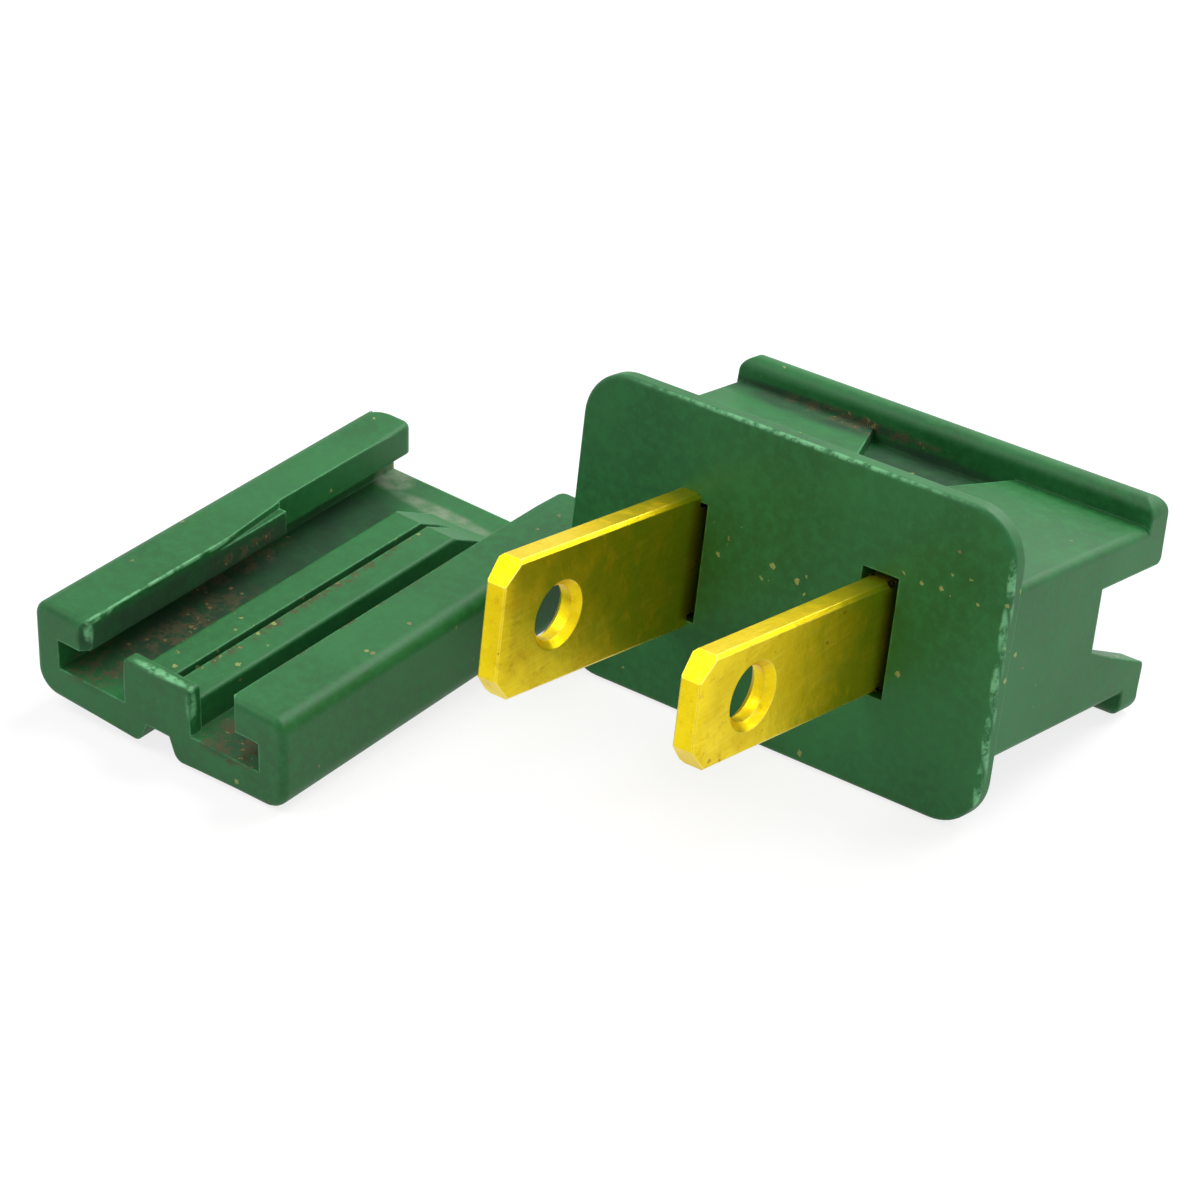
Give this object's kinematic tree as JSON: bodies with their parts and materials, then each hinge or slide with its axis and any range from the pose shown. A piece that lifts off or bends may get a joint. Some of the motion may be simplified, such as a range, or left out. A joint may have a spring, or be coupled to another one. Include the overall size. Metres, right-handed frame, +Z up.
{
  "type": "slide-on cord plug",
  "caption": "Green moulded type A plug for flat cord, flat brass contact blades of unequal width, with its slide-on rear cover taken off and lying beside it.",
  "frame": {"origin": "on the table, under the middle of the whole layout's bounding box", "axes": "+X along the row of the two blades, from the wide one to the narrow one; +Y away from the blade tips, towards the cord channel; +Z up from the table the parts lie on"},
  "size_m": [0.0482, 0.0396, 0.0178],
  "materials": {
    "body_plastic": "satin moulded green plastic, dusty in the corners",
    "cover_plastic": "satin moulded green plastic, dusty in the channels",
    "wide_blade_brass": "stamped brass, lightly tarnished",
    "narrow_blade_brass": "stamped brass, lightly tarnished"
  },
  "bodies": {
    "root": {"plug_body": "body_plastic", "wide_blade": "wide_blade_brass", "narrow_blade": "narrow_blade_brass", "slide_cover": "cover_plastic"}
  },
  "joints": []
}
